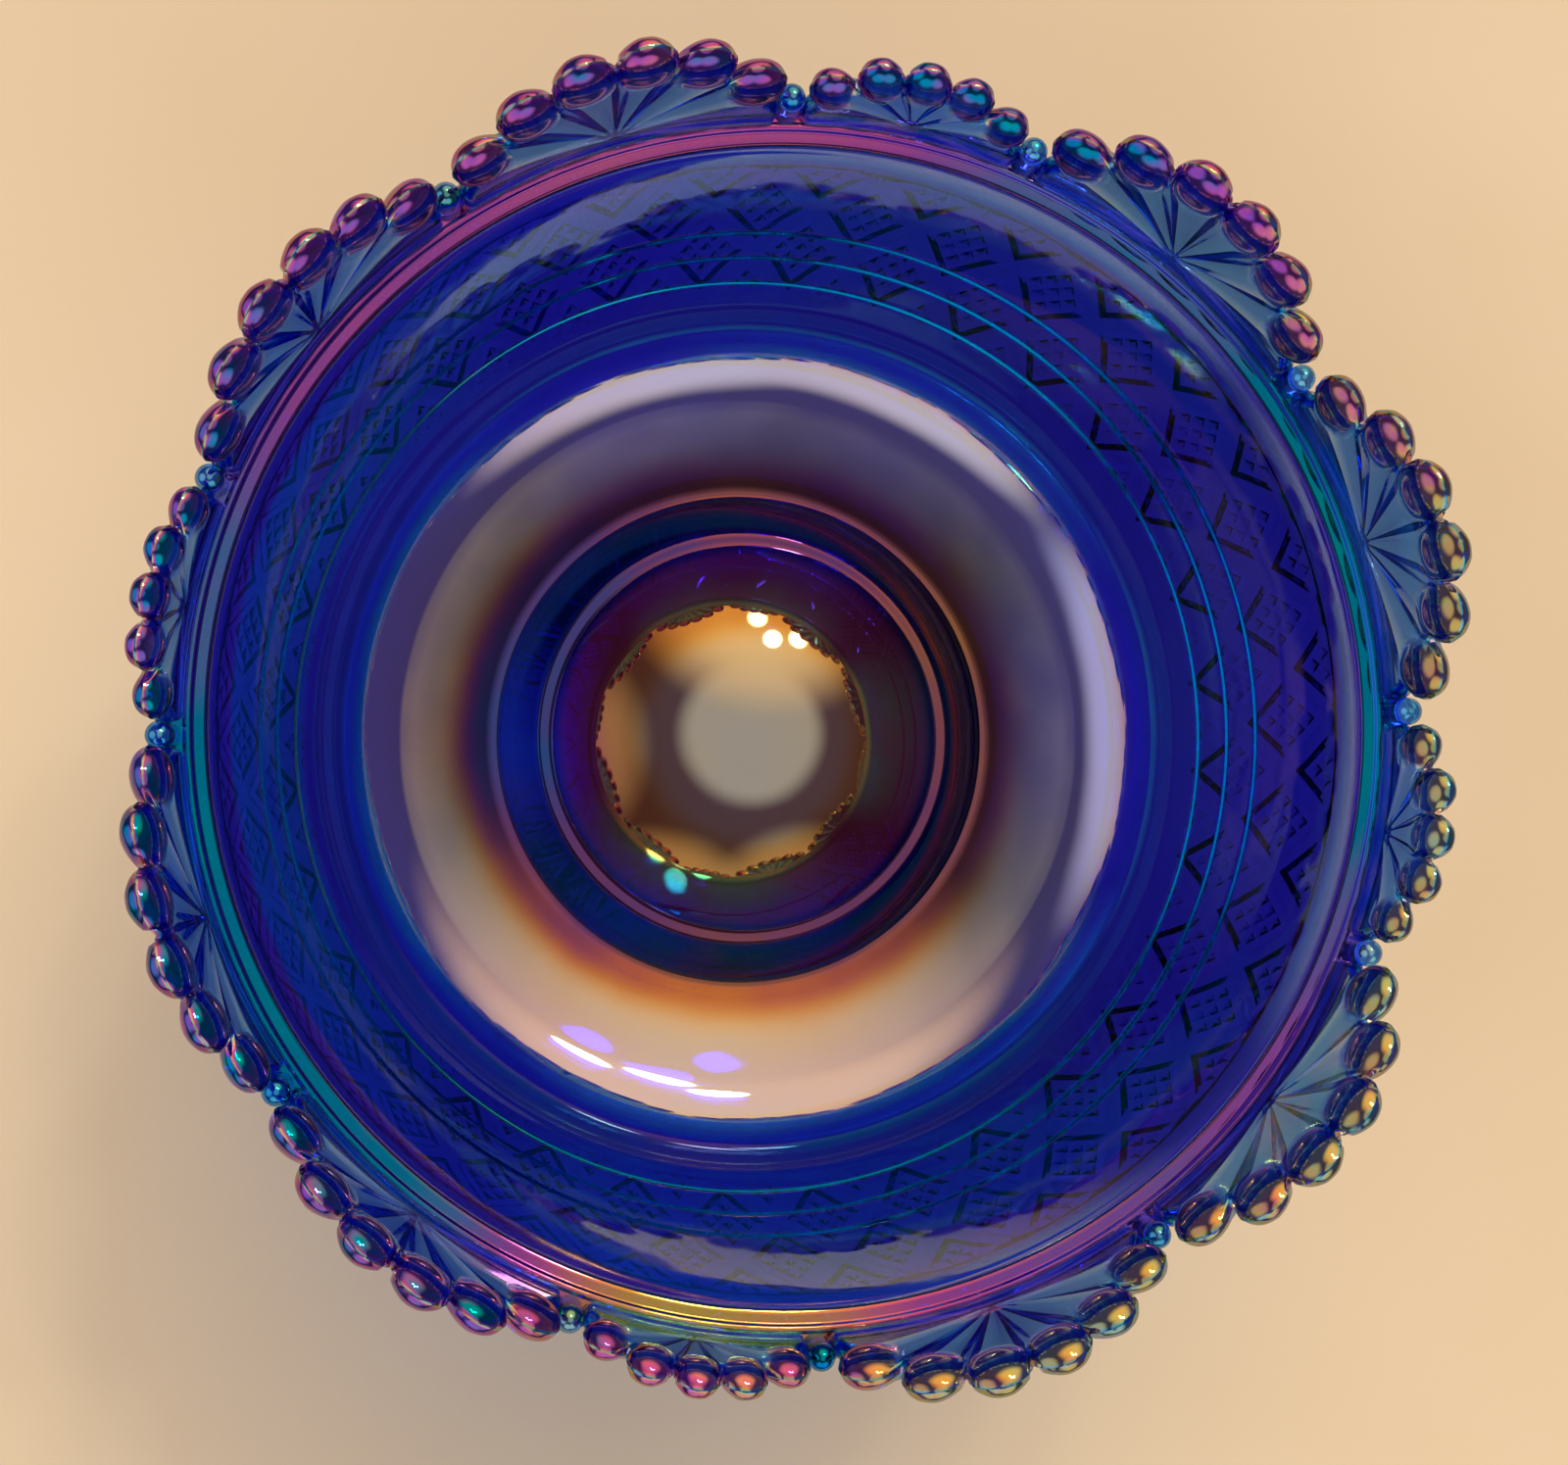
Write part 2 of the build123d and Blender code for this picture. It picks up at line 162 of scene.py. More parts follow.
def cloth_white():
    """Pale cotton cloth, so fine in weave that only a soft unevenness shows."""
    mat = bpy.data.materials.new("pale_cotton_cloth")
    mat.use_nodes = True
    tree = mat.node_tree
    shader = tree.nodes["Principled BSDF"]
    place = add_node(tree, "ShaderNodeTexCoord")
    patches = add_node(tree, "ShaderNodeTexNoise", {}, {
        "Vector": place.outputs["Object"], "Scale": 14.0})
    tone = add_node(tree, "ShaderNodeValToRGB", {}, {"Fac": patches.outputs["Fac"]})
    tone.color_ramp.elements[0].color = hex_colour("#ecdcb8")
    tone.color_ramp.elements[1].color = hex_colour("#f6ead0")
    tree.links.new(tone.outputs["Color"], shader.inputs["Base Color"])
    shader.inputs["Roughness"].default_value = 0.9
    return mat


corners = [(x * FLOOR_HALF, y * FLOOR_HALF, 0) for x, y in ((-1, -1), (1, -1), (1, 1), (-1, 1))]
floor_mesh = bpy.data.meshes.new("floor")
floor_mesh.from_pydata(corners, [], [(0, 1, 2, 3)])
floor = bpy.data.objects.new("floor", floor_mesh)
bpy.context.scene.collection.objects.link(floor)
floor_mesh.materials.append(cloth_white())


# %% [markdown]
# ## The room
# Film colours only show in what the glass reflects, so the room matters as much as the glass.
# It is made as a few soft patches of light on a dark sky: a warm wall with lamps behind the
# bowl, a window on the left, a pale wall in front, and the ceiling overhead.


# %% Room light
world = bpy.data.worlds.new("room")
bpy.context.scene.world = world
world.use_nodes = True
sky = world.node_tree
bpy.context.scene.view_settings.view_transform = "Standard"


def patch(total, looking, turn, rise, half, soft, colour, strength):
    """Adds a round patch of light to the sky: its place, half width and soft edge in degrees."""
    t, r = math.radians(turn), math.radians(rise)
    middle = (math.cos(t) * math.cos(r), math.sin(t) * math.cos(r), math.sin(r))
    near = add_node(sky, "ShaderNodeVectorMath", {"operation": "DOT_PRODUCT"}, {0: looking, 1: middle})
    outer, inner = math.radians(half + soft), math.radians(max(half - soft, 0.0))
    inside = fade(sky, near.outputs["Value"], math.cos(outer), math.cos(inner))
    glow = tuple(c * strength for c in hex_colour(colour)[:3]) + (1.0,)
    return mixed_colour(sky, inside, total, glow)


looking = add_node(sky, "ShaderNodeTexCoord").outputs["Generated"]
light = add_node(sky, "ShaderNodeRGB").outputs[0]
light.default_value = (0.10, 0.085, 0.10, 1.0)
# the ceiling, and the warm wall behind with its lamps
light = patch(light, looking, 20, 82, 21, 4, "#ebe2d2", 0.85)
light = patch(light, looking, 75, 42, 27, 14, "#f2c88e", 1.9)
for turn, rise in ((53, 51), (64, 55), (74, 50)):
    light = patch(light, looking, turn, rise, 2.2, 0.9, "#fff4e6", 34.0)
# the window on the left and the pale wall in front
light = patch(light, looking, 180, 35, 24, 10, "#d8d2e6", 1.2)
for turn in (250, 292):
    light = patch(light, looking, turn, 33, 20, 9, "#e6dcd6", 1.4)
sky.links.new(light, sky.nodes["Background"].inputs["Color"])
sky.nodes["Background"].inputs["Strength"].default_value = 1.25
print("room made of", sum(n.bl_idname == "ShaderNodeVectorMath" for n in sky.nodes), "patches")


# %% [markdown]
# ## The glass
# Cobalt glass swallows red and green, more the thicker it is, so the thin petals look steel
# blue and the wall looks deep ultramarine. That is partly a volume effect and partly painted
# light: the petals' glass is given a much paler tint, which stands in for the lit cloth that
# shines through them. On top lies a film of tin oxide, about 60 to 280 nanometres thick, which
# gives the colours of a soap bubble. It was sprayed by hand, so its thickness drifts round the
# bowl: that drift is a noise pattern here.


# %% Glass material
def film_noise(tree, place, patch_mm, amount):
    """Uneven spray: broad drifts with a finer mottle, centred on zero, in nanometres."""
    total = None
    for size, share in ((patch_mm, 2.0), (patch_mm * 0.22, 0.6)):
        noise = add_node(tree, "ShaderNodeTexNoise", {}, {
            "Vector": place, "Scale": 1000.0 / size, "Detail": 1.0})
        centred = number(tree, "SUBTRACT", noise.outputs["Fac"], 0.5)
        layer = number(tree, "MULTIPLY", centred, amount * share)
        total = layer if total is None else number(tree, "ADD", total, layer)
    return total


def stops(tree, factor, table):
    """A ramp through (position, value) pairs, as a number."""
    ramp = add_node(tree, "ShaderNodeValToRGB", {}, {"Fac": factor})
    ramp.color_ramp.interpolation = "EASE"
    marks = ramp.color_ramp.elements
    while len(marks) < len(table):
        marks.new(0.5)
    for mark, (at, value) in zip(marks, table):
        mark.position = at
        mark.color = (value, value, value, 1.0)
    return add_node(tree, "ShaderNodeSeparateColor", {}, {"Color": ramp.outputs["Color"]}).outputs[0]


def turn_and_radius(tree, place):
    """How far round a point is, 0 to 1 from -X through -Y, +X and +Y; and its radius in mm."""
    parts = add_node(tree, "ShaderNodeSeparateXYZ", {}, {"Vector": place}).outputs
    angle = number(tree, "ARCTAN2", parts["Y"], parts["X"])
    turn = number(tree, "MULTIPLY_ADD", angle, 1 / math.tau, 0.5)
    flat = add_node(tree, "ShaderNodeCombineXYZ", {}, {"X": parts["X"], "Y": parts["Y"]})
    length = add_node(tree, "ShaderNodeVectorMath", {"operation": "LENGTH"}, {0: flat.outputs[0]})
    return turn, number(tree, "MULTIPLY", length.outputs["Value"], 1 / MM)


# %% Cobalt glass
GLASS_IOR, FILM_IOR = 1.52, 2.35
GLOSS = 0.015


def cobalt_glass(name, base, base_warm, depth_colour, depth):
    """Clear cobalt glass with an empty film: the material, its tree, shader and place socket."""
    mat = bpy.data.materials.new(name)
    mat.use_nodes = True
    tree = mat.node_tree
    shader = tree.nodes["Principled BSDF"]
    place = add_node(tree, "ShaderNodeTexCoord").outputs["Object"]
    cloudy = add_node(tree, "ShaderNodeTexNoise", {}, {"Vector": place, "Scale": 26.0, "Detail": 0.0})
    tone = mixed_colour(tree, cloudy.outputs["Fac"], hex_colour(base), hex_colour(base_warm))
    tree.links.new(tone, shader.inputs["Base Color"])
    # handling leaves the gloss a little uneven, and the mould leaves a very low ripple
    smear = add_node(tree, "ShaderNodeTexNoise", {}, {"Vector": place, "Scale": 90.0, "Detail": 1.0})
    gloss = add_node(tree, "ShaderNodeMapRange", {}, {
        "Value": smear.outputs["Fac"], "From Min": 0.35, "From Max": 0.75,
        "To Min": GLOSS, "To Max": GLOSS + 0.04})
    tree.links.new(gloss.outputs["Result"], shader.inputs["Roughness"])
    ripple = add_node(tree, "ShaderNodeTexNoise", {}, {"Vector": place, "Scale": 120.0, "Detail": 0.0})
    bump = add_node(tree, "ShaderNodeBump", {}, {
        "Strength": 0.25, "Distance": 0.00012, "Height": ripple.outputs["Fac"]})
    tree.links.new(bump.outputs["Normal"], shader.inputs["Normal"])
    shader.inputs["IOR"].default_value = GLASS_IOR
    shader.inputs["Transmission Weight"].default_value = 1.0
    shader.inputs["Thin Film IOR"].default_value = FILM_IOR
    inside = add_node(tree, "ShaderNodeVolumeAbsorption", {}, {"Color": depth_colour, "Density": depth})
    tree.links.new(inside.outputs["Volume"], tree.nodes["Material Output"].inputs["Volume"])
    return mat, tree, shader, place


# %% How thick the film is
# Each table pairs a place with a thickness in units of 400 nanometres. Places on the floor
# are radii in units of 100 millimetres. The others are parts of a turn, from the left of the
# bowl through its near side, its right and its far side.
FILM_UNIT, RADIUS_UNIT = 400.0, 100.0
FLOOR_FILM = ((0.0, 0.145), (0.13, 0.155), (0.20, 0.23), (0.31, 0.27),
              (0.42, 0.255), (0.50, 0.155), (0.60, 0.15), (0.66, 0.34))
LEFT_EXTRA = ((0.0, 0.055), (0.12, 0.02), (0.25, 0.0), (0.5, 0.0),
              (0.75, 0.0), (0.88, 0.035), (1.0, 0.055))
SEAT_FILM = ((0.0, 0.62), (0.12, 0.63), (0.22, 0.49), (0.32, 0.60), (0.40, 0.58),
             (0.50, 0.635), (0.64, 0.63), (0.75, 0.56), (0.85, 0.57), (1.0, 0.62))
BEAD_FILM = ((0.0, 0.63), (0.12, 0.64), (0.22, 0.56), (0.30, 0.47), (0.38, 0.47),
             (0.50, 0.48), (0.62, 0.54), (0.70, 0.63), (0.80, 0.58), (1.0, 0.63))
PETAL_FILM = 0.385


def set_film(tree, shader, film, uneven):
    """Gives the shader its film: a thickness in film units, and its unevenness in nanometres."""
    sized = number(tree, "MULTIPLY_ADD", film, FILM_UNIT, uneven)
    tree.links.new(sized, shader.inputs["Thin Film Thickness"])


# %% The two glasses
def body_glass():
    """The bowl: gold and violet film low down, violet blue on the wall, all colours on the seat."""
    mat, tree, shader, place = cobalt_glass(
        "sprayed_cobalt_glass", "#444cf4", "#4e42e6", (0.06, 0.085, 0.955, 1.0), 300.0)
    turn, radius = turn_and_radius(tree, place)
    floor_film = stops(tree, number(tree, "DIVIDE", radius, RADIUS_UNIT), FLOOR_FILM)
    # away from the axis, the film is thicker on the left than on the right
    off_axis = fade(tree, radius, 14.0, 38.0)
    low_film = number(tree, "MULTIPLY_ADD", stops(tree, turn, LEFT_EXTRA), off_axis, floor_film)
    # the seat's film starts at the seat's inner edge, and runs out slowly down the outside
    past_edge = add_node(tree, "ShaderNodeMapRange", {}, {
        "Value": radius, "From Min": SEAT_INNER_R - 0.2, "From Max": SEAT_INNER_R + 0.4})
    up = add_node(tree, "ShaderNodeSeparateXYZ", {}, {"Vector": place}).outputs["Z"]
    high = fade(tree, up, (SEAT_Z - 26.0) * MM, (SEAT_Z - 2.0) * MM)
    on_seat = number(tree, "MULTIPLY", past_edge.outputs["Result"], high)
    film = mixed(tree, on_seat, low_film, stops(tree, turn, SEAT_FILM))
    set_film(tree, shader, film, film_noise(tree, place, 40.0, 13.0))
    # painted shade: inside the foot the glass is tinted dark, since hardly any light comes up through
    # the thick floor there
    wall_tone = shader.inputs["Base Color"].links[0].from_socket
    painted_shade_inside_foot = fade(tree, radius, 60.0, 38.0)
    painted_shade_tone = mixed_colour(tree, painted_shade_inside_foot, wall_tone, hex_colour("#3a1440"))
    # painted reflection: the dome is given a wine-red colour, and less transmission so that the colour
    # shows, for the dark red of the room mirrored in it
    dome_painted_reflection = fade(tree, radius, 31.5, 29.0)
    tone = mixed_colour(tree, dome_painted_reflection, painted_shade_tone, hex_colour("#741a38"))
    tree.links.new(tone, shader.inputs["Base Color"])
    tree.links.new(mixed(tree, dome_painted_reflection, 1.0, 0.62), shader.inputs["Transmission Weight"])
    return mat


def edge_glass():
    """The gallery: thin clear petals, and beads where the glass and the spray are thickest."""
    # painted light: the petals get a much paler tint than the bowl's glass, which stands in for the lit
    # cloth shining through them
    mat, tree, shader, place = cobalt_glass(
        "thin_cobalt_glass_painted_pale", "#bcd4ff", "#b4c6ff", (0.10, 0.55, 0.95, 1.0), 600.0)
    turn, _ = turn_and_radius(tree, place)
    bead = add_node(tree, "ShaderNodeAttribute", {"attribute_name": "bead"}).outputs["Fac"]
    film = mixed(tree, bead, PETAL_FILM, stops(tree, turn, BEAD_FILM))
    set_film(tree, shader, film, film_noise(tree, place, 7.0, 34.0))
    # the thick beads let less light through than the petals
    painted_pale_petal_tone = shader.inputs["Base Color"].links[0].from_socket
    tone = mixed_colour(tree, bead, painted_pale_petal_tone, hex_colour("#1c2a78"))
    tree.links.new(tone, shader.inputs["Base Color"])
    return mat


glass_body = body_glass()
glass_edge = edge_glass()

# %% [markdown]
# ## One tree that turns copies round the axis
# Almost everything on a pressed bowl repeats round its axis: 32 columns of lozenges, four
# groups of three scallops, twelve pillars. One Geometry Nodes tree turns copies of a mesh
# round Z. Copies can come in groups, which is how two large scallops and a small one make a
# quarter. It joins touching copies, so a ring of wedges becomes one closed skin.


# %% Geometry Nodes tree
def make_ring_tree():
    """Geometry Nodes that place copies on one point, each turned by its own angle, and join them."""
    tree = bpy.data.node_groups.new("copies_round_axis", "GeometryNodeTree")
    face = tree.interface
    face.new_socket("Geometry", in_out="INPUT", socket_type="NodeSocketGeometry")
    for name, kind in (("Copies", "NodeSocketInt"), ("Copies in a group", "NodeSocketInt"),
                       ("First angle", "NodeSocketFloat"), ("Step in a group", "NodeSocketFloat"),
                       ("Step of groups", "NodeSocketFloat"), ("Join distance", "NodeSocketFloat"),
                       ("Glass", "NodeSocketMaterial")):
        face.new_socket(name, in_out="INPUT", socket_type=kind)
    face.new_socket("Geometry", in_out="OUTPUT", socket_type="NodeSocketGeometry")
    entry = add_node(tree, "NodeGroupInput")
    exit_node = add_node(tree, "NodeGroupOutput")
    given = entry.outputs
    line = add_node(tree, "GeometryNodeMeshLine", {}, {
        "Count": given["Copies"], "Offset": (0.0, 0.0, 0.0)})
    index = add_node(tree, "GeometryNodeInputIndex")
    group = number(tree, "FLOOR", number(tree, "DIVIDE", index.outputs[0], given["Copies in a group"]))
    within = number(tree, "MODULO", index.outputs[0], given["Copies in a group"])
    start = number(tree, "MULTIPLY_ADD", group, given["Step of groups"], given["First angle"])
    angle = number(tree, "MULTIPLY_ADD", within, given["Step in a group"], start)
    turn = add_node(tree, "ShaderNodeCombineXYZ", {}, {"Z": number(tree, "RADIANS", angle)})
    rotation = add_node(tree, "FunctionNodeEulerToRotation", {}, {"Euler": turn.outputs[0]})
    copies = add_node(tree, "GeometryNodeInstanceOnPoints", {}, {
        "Points": line.outputs["Mesh"], "Instance": given["Geometry"],
        "Rotation": rotation.outputs[0]})
    real = add_node(tree, "GeometryNodeRealizeInstances", {}, {"Geometry": copies.outputs["Instances"]})
    joined = add_node(tree, "GeometryNodeMergeByDistance", {}, {
        "Geometry": real.outputs["Geometry"], "Distance": given["Join distance"]})
    glazed = add_node(tree, "GeometryNodeSetMaterial", {}, {
        "Geometry": joined.outputs["Geometry"], "Material": given["Glass"]})
    tree.links.new(glazed.outputs["Geometry"], exit_node.inputs["Geometry"])
    return tree


RING_TREE = make_ring_tree()
RING_SOCKET = {item.name: item.identifier for item in RING_TREE.interface.items_tree
               if item.in_out == "INPUT"}


def ring_of(name, mesh, values, glass):
    """Turns copies of a mesh round the axis and returns them as one plain mesh object."""
    source = bpy.data.objects.new(name + "_source", mesh)
    bpy.context.scene.collection.objects.link(source)
    mod = source.modifiers.new("ring", "NODES")
    mod.node_group = RING_TREE
    for key, value in values.items():
        mod[RING_SOCKET[key]] = value
    mod[RING_SOCKET["Glass"]] = glass
    graph = bpy.context.evaluated_depsgraph_get()
    made = bpy.data.meshes.new_from_object(source.evaluated_get(graph))
    made.name = name
    source.modifiers.clear()
    bpy.data.objects.remove(source)
    piece = bpy.data.objects.new(name, made)
    bpy.context.scene.collection.objects.link(piece)
    print(name, len(made.polygons), "faces")
    return piece


# %% [markdown]
# ## The relief, laid out on a slanting grid
# The lozenges stand on their points, so the grid of the mesh stands on its points too: every
# groove, frame and small pyramid then lies exactly on an edge, and stays as crisp as pressed
# glass. Ten grid steps cross one lozenge: a groove, the crest of the frame, three pyramids,
# and the frame again. Heights are measured outwards from the smooth inner surface.

# %% Relief heights
STEPS = 10
RELIEF_ROWS = 4 * STEPS
ROW_LEANS = (5.1, 9.87, 14.58, 24.0, 58.0)
GROOVE, CREST, FIELD, POINT = 4.70, 4.85, 4.42, 4.78
# the row on the rounded corner is pressed less deep
LOW_ROW_SHARE = 0.55


def relief_height(i, j):
    """Height over the inner surface at grid point (i, j); j counts down from the top row."""
    if j <= 0 or j >= RELIEF_ROWS:
        return GROOVE
    # steps from the nearest groove, along the grid's two slanting directions
    a = (j + i) % (2 * STEPS) / 2
    b = (j - i) % (2 * STEPS) / 2
    near = min(a, STEPS - a), min(b, STEPS - b)
    if min(near) == 0:
        return GROOVE
    soft = LOW_ROW_SHARE if j > 3 * STEPS else 1.0
    if min(near) == 1:
        return GROOVE + (CREST - GROOVE) * soft
    if near[0] % 2 == 1 and near[1] % 2 == 1:
        return GROOVE + (POINT - GROOVE) * soft
    return GROOVE + (FIELD - GROOVE) * soft


def relief_lean(j):
    """Lean of the wall at grid row j, from the rows where the lozenge corners lie."""
    k = min(int(j // STEPS), 3)
    t = j / STEPS - k
    if k == 2:
        # this stretch runs from the long arc on to the rounded corner
        arc = (WALL_ARC_R + WALL) * math.radians(LEAN_LOW - ROW_LEANS[2])
        bend = (CORNER_ARC_R + WALL) * math.radians(ROW_LEANS[3] - LEAN_LOW)
        run = t * (arc + bend)
        if run <= arc:
            return ROW_LEANS[2] + math.degrees(run / (WALL_ARC_R + WALL))
        return LEAN_LOW + math.degrees((run - arc) / (CORNER_ARC_R + WALL))
    return ROW_LEANS[k] + t * (ROW_LEANS[k + 1] - ROW_LEANS[k])


# %% [markdown]
# ## The profile of the bowl
# Away from the relief the bowl is a plain turned shape. Its profile runs from the top of the
# relief over the lid seat, down the inside, across the domed floor, and back under the foot.
# Corners are rounded, because glass from a mould is fire-polished: it has no sharp edge.


# %% Profile
DOME_R, DOME_TOP_Z, DOME_FOOT_Z, DOME_STEPS = 31.2, SEAT_Z - 58.6, SEAT_Z - 66.6, 14
FLOOR_EDGE_R, FLOOR_EDGE_Z, FLOOR_THICK, FLAT_R = 39.7, SEAT_Z - 71.0, 5.2, 33.4
FOOT_R, FOOT_INNER_R = 42.5, 36.0
# the plunger's rings: how far under the seat they lie, and how high and wide they are
RING_DROPS, RING_HEIGHT, RING_WIDTH = (33.0, 41.0, 48.6), 0.38, 0.32


def rounded(points, sizes, parts=5):
    """Rounds the corners of a path of points; sizes gives each corner's cut-back length."""
    path = [points[0]]
    for k in range(1, len(points) - 1):
        p, q, r = (Vector(points[k + d]) for d in (-1, 0, 1))
        cut = sizes.get(k, 0)
        if cut <= 0:
            path.append(tuple(q))
            continue
        start = q + (p - q).normalized() * min(cut, (p - q).length * 0.49)
        end = q + (r - q).normalized() * min(cut, (r - q).length * 0.49)
        for s in range(parts + 1):
            t = s / parts
            path.append(tuple(start * (1 - t) ** 2 + q * 2 * t * (1 - t) + end * t ** 2))
    path.append(points[-1])
    return path


def inner_wall(rows=90, corner_rows=28):
    """The inside of the wall from the lid seat down, with the plunger's fine rings."""
    leans = {LEAN_TOP + (LEAN_LOW - LEAN_TOP) * s / rows for s in range(rows + 1)}
    for drop in RING_DROPS:
        middle = math.degrees(math.asin((WALL_C[1] - (SEAT_Z - drop)) / WALL_ARC_R))
        leans |= {middle + d for d in (-0.2, -0.12, -0.05, 0.0, 0.05, 0.12, 0.2)}
    points = []
    for lean in sorted(leans):
        down = SEAT_Z - on_bowl(lean)[1]
        bump = sum(RING_HEIGHT * math.exp(-((down - drop) / RING_WIDTH) ** 2) for drop in RING_DROPS)
        points.append(on_bowl(lean, -bump))
    for s in range(1, corner_rows + 1):
        points.append(on_bowl(LEAN_LOW + 0.001 + (LEAN_WELL - LEAN_LOW) * s / corner_rows))
    return points


def dome(top_z):
    """The dome of the floor, part of a sphere, from its foot to the axis without the pole."""
    rise = DOME_TOP_Z - DOME_FOOT_Z
    cap_r = (DOME_R ** 2 + rise ** 2) / (2 * rise)
    full = math.asin(DOME_R / cap_r)
    points = []
    for s in range(DOME_STEPS):
        a = full * (1 - s / DOME_STEPS)
        points.append((cap_r * math.sin(a), top_z - cap_r * (1 - math.cos(a))))
    return points


def floor_step():
    """Down the slope, over the raised flank, and on to the flat ring round the dome."""
    slope_top, edge = on_bowl(LEAN_WELL), (FLOOR_EDGE_R, FLOOR_EDGE_Z)
    slope = [tuple(a + (b - a) * t / 8 for a, b in zip(slope_top, edge)) for t in range(8)]
    flat = [edge, (FLAT_R, DOME_FOOT_Z), (DOME_R, DOME_FOOT_Z)]
    tail = rounded([slope[-1]] + flat + [dome(DOME_TOP_Z)[1]], {1: 0.9, 2: 0.9, 3: 0.9})
    return slope + tail[1:-1]


def under_foot():
    """From the dome's underside, down and round the foot, and up the slope."""
    slope_end = (FLOOR_EDGE_R + WALL * 0.26, FLOOR_EDGE_Z - FLOOR_THICK)
    rise = math.tan(math.radians(90 - LEAN_WELL)) * (FOOT_R - slope_end[0])
    points = [dome(DOME_TOP_Z - FLOOR_THICK)[1], (DOME_R, DOME_FOOT_Z - FLOOR_THICK),
              (FOOT_INNER_R, slope_end[1]), (FOOT_INNER_R, 0.0), (FOOT_R, 0.0),
              (FOOT_R, slope_end[1] + rise), on_bowl(LEAN_WELL, WALL)]
    return rounded(points, {1: 1.5, 2: 1.2, 3: 1.2, 4: 1.2, 5: 1.4})[1:-1]


def seat_profile():
    """From the relief's top edge up the outside, over the gallery's base and the lid seat."""
    points = [on_bowl(ROW_LEANS[0], GROOVE), on_bowl(ROW_LEANS[0] - 0.35, 4.5), on_bowl(3.2, 4.4),
              (SEAT_OUTER_R - 1.6, SEAT_Z - 4.2), (SEAT_OUTER_R, SEAT_Z - 2.2),
              (SEAT_OUTER_R, SEAT_Z + 0.25), (GALLERY_R, SEAT_Z + 0.25),
              (GALLERY_R - 0.3, SEAT_Z + 0.5), (GALLERY_R - 0.9, SEAT_Z + 0.5),
              (GALLERY_R - 1.3, SEAT_Z - 0.05), (SEAT_INNER_R, SEAT_Z - 0.05), on_bowl(LEAN_TOP)]
    sizes = {1: 0.3, 2: 0.8, 3: 1.0, 4: 0.8, 5: 0.35, 6: 0.1, 7: 0.2, 8: 0.2, 9: 0.2, 10: 1.1}
    return rounded(points, sizes)


# %% [markdown]
# ## One wedge of the bowl
# The wedge is a thirty-second of the bowl: one column of lozenges outside, and the smooth
# inside, floor and foot that belong to it. Its two sides stay open, because its neighbours
# close them when the ring of copies is joined.


# %% Wedge mesh
def relief_faces(i, j):
    """Triangles of the small lozenge cell round grid point (i, j), cut along its steeper way."""
    ring = [(i, j - 1), (i + 1, j), (i, j + 1), (i - 1, j)]
    ring = [c for c in ring if abs(c[0]) <= STEPS and 0 <= c[1] <= RELIEF_ROWS]
    if len(ring) < 4:
        # a half cell at the edge of the grid; at its corners there is none
        return [tuple(reversed(ring))] if len(ring) == 3 else []
    h = [relief_height(*c) for c in ring]
    if abs(h[0] - h[2]) >= abs(h[1] - h[3]):
        return [(ring[0], ring[2], ring[1]), (ring[0], ring[3], ring[2])]
    return [(ring[0], ring[3], ring[1]), (ring[1], ring[3], ring[2])]


def bowl_wedge():
    """One column of lozenges outside, with the plain turned surfaces that belong to it."""
    mesh = bpy.data.meshes.new("bowl_wedge")
    bm = bmesh.new()
    columns = range(-STEPS, STEPS + 1, 2)
    made = {}

    def point(radius, z, i):
        a = math.pi / LOZENGES * i / STEPS
        return bm.verts.new((radius * math.cos(a) * MM, radius * math.sin(a) * MM, z * MM))

    def grid_point(i, j):
        if (i, j) not in made:
            made[i, j] = point(*on_bowl(relief_lean(j), relief_height(i, j)), i)
        return made[i, j]

    def join(last, row):
        for k in range(len(columns) - 1):
            bm.faces.new((last[k], last[k + 1], row[k + 1], row[k]))
        return row

    for j in range(RELIEF_ROWS + 1):
        for i in range(-STEPS, STEPS + 1):
            if (i + j) % 2 == 1:
                for face in relief_faces(i, j):
                    bm.faces.new([grid_point(*c) for c in face])
    # from the relief's top over the seat and down the inside to the pole of the dome
    inside = seat_profile()[1:] + inner_wall()[1:] + floor_step()[1:] + dome(DOME_TOP_Z)[1:]
    last = [grid_point(i, 0) for i in columns]
    for radius, z in inside:
        last = join(last, [point(radius, z, i) for i in columns])
    pole = bm.verts.new((0, 0, DOME_TOP_Z * MM))
    for k in range(len(columns) - 1):
        bm.faces.new((last[k], last[k + 1], pole))
    # from the pole under the dome round the foot and up to the relief's bottom
    below = list(reversed(dome(DOME_TOP_Z - FLOOR_THICK)[1:])) + under_foot()
    below += [on_bowl(LEAN_WELL - (LEAN_WELL - 60.0) * s / 5, WALL) for s in range(6)]
    pole = bm.verts.new((0, 0, (DOME_TOP_Z - FLOOR_THICK) * MM))
    last = [point(*below[0], i) for i in columns]
    for k in range(len(columns) - 1):
        bm.faces.new((pole, last[k + 1], last[k]))
    for radius, z in below[1:]:
        last = join(last, [point(radius, z, i) for i in columns])
    join(last, [grid_point(i, RELIEF_ROWS) for i in columns])
    bm.to_mesh(mesh)
    bm.free()
    return mesh


bowl_shell = ring_of("bowl_shell", bowl_wedge(), {
    "Copies": LOZENGES, "Copies in a group": LOZENGES, "First angle": 0.0,
    "Step in a group": 360.0 / LOZENGES, "Step of groups": 0.0, "Join distance": 0.00001}, glass_body)


